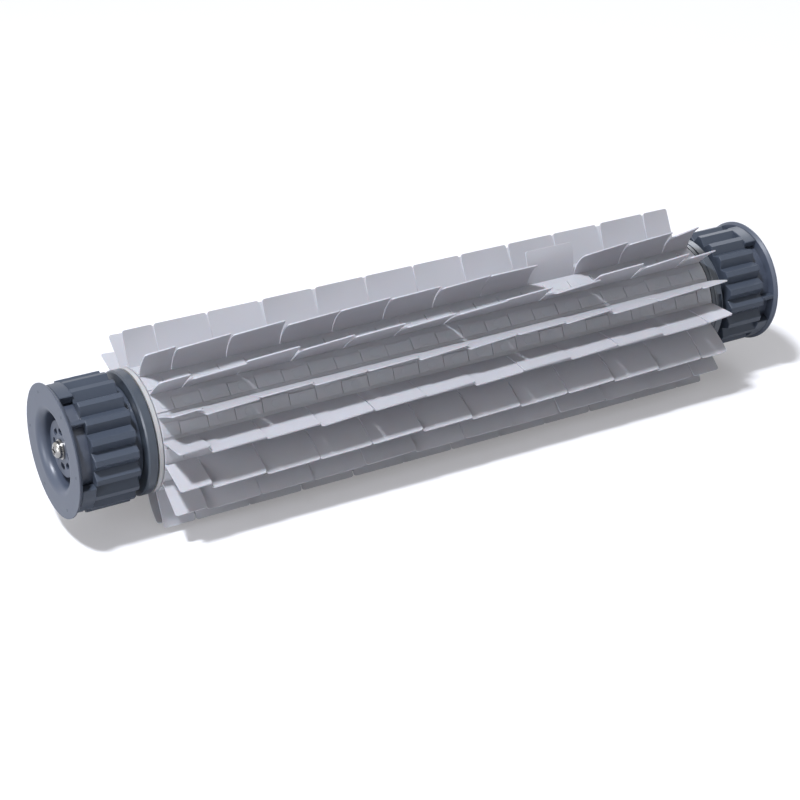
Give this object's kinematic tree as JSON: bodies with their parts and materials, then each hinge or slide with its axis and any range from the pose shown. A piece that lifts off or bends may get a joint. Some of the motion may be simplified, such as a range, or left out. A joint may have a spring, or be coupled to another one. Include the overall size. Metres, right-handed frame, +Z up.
{
  "type": "roller brush",
  "caption": "Roller brush of a pool-cleaning robot: rows of slit soft blades on a tube between toothed track pulleys, with a free bearing bush at each end.",
  "frame": {"origin": "middle of the roller's axis, halfway between the outer faces of the end flanges", "axes": "+X along the roller's axis, +Z up, +Y away from the side seen in the picture"},
  "size_m": [0.384, 0.0908, 0.0884],
  "materials": {
    "brush_pvc": "matte moulded soft PVC",
    "tube_pvc": "extruded PVC",
    "pulley_plastic": "moulded satin plastic",
    "bush_plastic": "moulded bearing plastic",
    "washer_acetal": "cut acetal",
    "stainless_steel": "stainless steel"
  },
  "bodies": {
    "roller": {"brush_sleeve": "brush_pvc", "core_tube": "tube_pvc", "left_end_plug": "pulley_plastic", "left_thrust_washer": "washer_acetal", "left_track_pulley": "pulley_plastic", "left_end_cap": "pulley_plastic", "left_screw_washer": "stainless_steel", "left_cap_screw": "stainless_steel", "right_end_plug": "pulley_plastic", "right_thrust_washer": "bush_plastic", "right_track_pulley": "pulley_plastic", "right_end_cap": "pulley_plastic", "right_screw_washer": "stainless_steel", "right_cap_screw": "stainless_steel"},
    "left_bush": {"left_bearing_bush": "bush_plastic"},
    "right_bush": {"right_bearing_bush": "bush_plastic"}
  },
  "joints": [
    {"name": "left_bush_turn", "type": "hinge", "parent": "roller", "child": "left_bush", "pos_m": [-0.15605, 0, 0], "axis": [1, 0, 0], "continuous": true},
    {"name": "right_bush_turn", "type": "hinge", "parent": "roller", "child": "right_bush", "pos_m": [0.15605, 0, 0], "axis": [1, 0, 0], "continuous": true}
  ]
}
